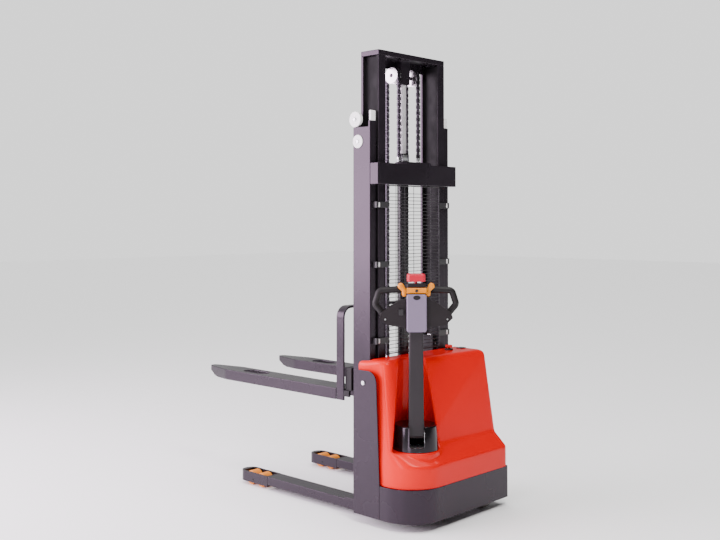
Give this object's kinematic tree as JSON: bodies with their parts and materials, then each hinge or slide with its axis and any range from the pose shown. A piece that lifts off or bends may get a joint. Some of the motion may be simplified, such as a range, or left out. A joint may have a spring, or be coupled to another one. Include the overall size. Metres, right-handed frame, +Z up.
{
  "type": "walkie stacker",
  "caption": "Walk-behind electric pallet stacker with a two-stage mast, straddling forks, support legs with load rollers and a tiller at the left rear.",
  "frame": {"origin": "centre of the truck's footprint box, on the floor", "axes": "+X the way the forks point, +Y to the truck's left, +Z up"},
  "size_m": [1.7564, 0.812, 2.448],
  "materials": {
    "frame_paint": "dark grey gloss powder coat",
    "guard_wire": "black dipped wire",
    "zinc": "bright zinc plate",
    "white_nylon": "white nylon",
    "cylinder_paint": "satin black",
    "hood_red": "glossy moulded red",
    "black_plastic": "black moulded plastic",
    "battery_case": "black polypropylene",
    "pack_paint": "black machine paint",
    "controller_aluminium": "cast and finned",
    "bearing_steel": "ground steel",
    "rod_chrome": "hard chrome",
    "chain_steel": "oiled steel",
    "roller_steel": "black",
    "roller_pu": "orange polyurethane",
    "tyre_pu": "amber polyurethane",
    "drive_iron": "painted casting",
    "turret_black": "gloss black shell",
    "tiller_paint": "dark grey powder coat",
    "head_plastic": "dark moulded plastic",
    "shield_plastic": "light grey moulded plastic",
    "grip_plastic": "dark grip plastic",
    "signal_yellow": "amber yellow",
    "signal_red": "signal red"
  },
  "bodies": {
    "chassis": {"outer_mast_rails": "frame_paint", "mast_cross_members": "frame_paint", "mast_guard": "guard_wire", "guard_clips": "zinc", "mast_nylon_stops": "white_nylon", "lift_cylinder": "cylinder_paint", "chain_anchors_mast": "zinc", "support_legs": "frame_paint", "leg_toes": "frame_paint", "side_plates": "frame_paint", "side_plate_bolts": "zinc", "chassis_frame": "frame_paint", "rear_skirt": "frame_paint", "rear_hood": "hood_red", "hood_controls": "black_plastic", "battery": "battery_case", "power_pack": "pack_paint", "motor_controller": "controller_aluminium", "steering_bearing": "bearing_steel", "chains_rear": "chain_steel"},
    "inner_mast": {"inner_mast_rails": "frame_paint", "inner_cross_members": "frame_paint", "lift_rod": "rod_chrome", "chain_wraps": "chain_steel"},
    "carriage": {"carriage_frame": "frame_paint", "carriage_anchors": "zinc", "load_backrest": "frame_paint", "fork_left": "frame_paint", "fork_right": "frame_paint", "chains_front": "chain_steel"},
    "chain_pulleys": {"chain_pulleys": "bearing_steel"},
    "inner_mast_rollers": {"inner_mast_rollers": "bearing_steel"},
    "outer_mast_rollers": {"outer_mast_rollers": "bearing_steel"},
    "carriage_rollers_low": {"carriage_rollers_low": "bearing_steel"},
    "carriage_rollers_high": {"carriage_rollers_high": "bearing_steel"},
    "bogie_left": {"bogie_left": "roller_steel"},
    "bogie_right": {"bogie_right": "roller_steel"},
    "load_roller_front_left": {"load_roller_front_left": "roller_pu"},
    "load_roller_front_right": {"load_roller_front_right": "roller_pu"},
    "load_roller_rear_left": {"load_roller_rear_left": "roller_pu"},
    "load_roller_rear_right": {"load_roller_rear_right": "roller_pu"},
    "drive_unit": {"drive_bracket": "drive_iron", "drive_motor": "pack_paint", "turret_shroud": "turret_black", "tiller_bracket": "roller_steel"},
    "drive_wheel": {"drive_tyre": "tyre_pu", "drive_hub": "drive_iron"},
    "castor": {"castor_fork": "roller_steel"},
    "castor_wheel": {"castor_wheel": "tyre_pu"},
    "tiller": {"tiller_arm": "tiller_paint", "head_core": "head_plastic", "head_shield": "shield_plastic", "grip_left": "grip_plastic", "grip_right": "grip_plastic", "head_bar": "signal_yellow"},
    "speed_wings": {"speed_wings": "signal_yellow"},
    "belly_button": {"belly_button": "signal_red"},
    "horn_button": {"horn_button": "black_plastic"},
    "lift_rocker": {"lift_rocker": "black_plastic"},
    "stop_knob": {"stop_knob": "signal_red"}
  },
  "joints": [
    {"name": "mast_lift", "type": "slide", "parent": "chassis", "child": "inner_mast", "axis": [0, 0, 1], "range_m": [-0.28275, 1.172], "deforming": ["chains_rear"]},
    {"name": "carriage_lift", "type": "slide", "parent": "inner_mast", "child": "carriage", "axis": [0, 0, 1], "range_m": [-0.28275, 1.172], "deforming": ["chains_front"]},
    {"name": "pulley_spin", "type": "hinge", "parent": "inner_mast", "child": "chain_pulleys", "pos_m": [-0.43984, 0, 2.335], "axis": [0, 1, 0], "continuous": true},
    {"name": "inner_mast_roller_spin", "type": "hinge", "parent": "inner_mast", "child": "inner_mast_rollers", "pos_m": [-0.43684, 0, 0.415], "axis": [0, 1, 0], "continuous": true},
    {"name": "outer_mast_roller_spin", "type": "hinge", "parent": "chassis", "child": "outer_mast_rollers", "pos_m": [-0.44684, 0, 1.963], "axis": [0, 1, 0], "continuous": true},
    {"name": "carriage_roller_low_spin", "type": "hinge", "parent": "carriage", "child": "carriage_rollers_low", "pos_m": [-0.44684, 0, 0.632], "axis": [0, 1, 0], "continuous": true},
    {"name": "carriage_roller_high_spin", "type": "hinge", "parent": "carriage", "child": "carriage_rollers_high", "pos_m": [-0.44684, 0, 0.862], "axis": [0, 1, 0], "continuous": true},
    {"name": "bogie_tip_left", "type": "hinge", "parent": "chassis", "child": "bogie_left", "pos_m": [0.42666, 0.28, 0.04], "axis": [0, 1, 0], "range_deg": [-8, 8]},
    {"name": "load_roller_rear_left_spin", "type": "hinge", "parent": "bogie_left", "child": "load_roller_rear_left", "pos_m": [0.38116, 0.28, 0.04], "axis": [0, 1, 0], "continuous": true},
    {"name": "load_roller_front_left_spin", "type": "hinge", "parent": "bogie_left", "child": "load_roller_front_left", "pos_m": [0.47216, 0.28, 0.04], "axis": [0, 1, 0], "continuous": true},
    {"name": "bogie_tip_right", "type": "hinge", "parent": "chassis", "child": "bogie_right", "pos_m": [0.42666, -0.28, 0.04], "axis": [0, 1, 0], "range_deg": [-8, 8]},
    {"name": "load_roller_rear_right_spin", "type": "hinge", "parent": "bogie_right", "child": "load_roller_rear_right", "pos_m": [0.38116, -0.28, 0.04], "axis": [0, 1, 0], "continuous": true},
    {"name": "load_roller_front_right_spin", "type": "hinge", "parent": "bogie_right", "child": "load_roller_front_right", "pos_m": [0.47216, -0.28, 0.04], "axis": [0, 1, 0], "continuous": true},
    {"name": "steer", "type": "hinge", "parent": "chassis", "child": "drive_unit", "pos_m": [-0.69784, 0.2, 0.224], "axis": [0, 0, 1], "range_deg": [-5, 85]},
    {"name": "drive_spin", "type": "hinge", "parent": "drive_unit", "child": "drive_wheel", "pos_m": [-0.69784, 0.2, 0.105], "axis": [0.7071, 0.7071, 0], "continuous": true},
    {"name": "castor_swivel", "type": "hinge", "parent": "chassis", "child": "castor", "pos_m": [-0.73284, -0.24, 0.216], "axis": [0, 0, 1], "continuous": true},
    {"name": "castor_spin", "type": "hinge", "parent": "castor", "child": "castor_wheel", "pos_m": [-0.77084, -0.24, 0.075], "axis": [0, 1, 0], "continuous": true},
    {"name": "tiller_tilt", "type": "hinge", "parent": "drive_unit", "child": "tiller", "pos_m": [-0.72966, 0.23182, 0.462], "axis": [-0.7071, -0.7071, 0], "range_deg": [0, 85], "stiffness_Nm_per_rad": 60, "springref_deg": -20.05},
    {"name": "speed_twist", "type": "hinge", "parent": "tiller", "child": "speed_wings", "pos_m": [-0.73532, 0.23748, 1.192], "axis": [0.7071, 0.7071, 0], "range_deg": [-25, 25], "stiffness_Nm_per_rad": 0.8},
    {"name": "belly_press", "type": "slide", "parent": "tiller", "child": "belly_button", "axis": [0, 0, -1], "range_m": [0, 0.008], "stiffness_N_per_m": 800, "springref_m": -0.006},
    {"name": "horn_press", "type": "slide", "parent": "tiller", "child": "horn_button", "axis": [0.7071, -0.7071, 0], "range_m": [0, 0.003], "stiffness_N_per_m": 800, "springref_m": -0.002},
    {"name": "lift_lower_tip", "type": "hinge", "parent": "tiller", "child": "lift_rocker", "pos_m": [-0.69367, 0.30614, 1.083], "axis": [0.7071, 0.7071, 0], "range_deg": [-8, 8], "stiffness_Nm_per_rad": 0.3},
    {"name": "stop_press", "type": "slide", "parent": "chassis", "child": "stop_knob", "axis": [0, 0, -1], "range_m": [0, 0.005]}
  ],
  "couplings": [
    {"joint": "carriage_lift", "follows": "mast_lift", "ratio": 1},
    {"joint": "pulley_spin", "follows": "mast_lift", "rad_per_m": -23.809},
    {"joint": "inner_mast_roller_spin", "follows": "mast_lift", "rad_per_m": -21.739},
    {"joint": "outer_mast_roller_spin", "follows": "mast_lift", "rad_per_m": 21.739},
    {"joint": "carriage_roller_low_spin", "follows": "mast_lift", "rad_per_m": -21.739},
    {"joint": "carriage_roller_high_spin", "follows": "mast_lift", "rad_per_m": -21.739}
  ]
}
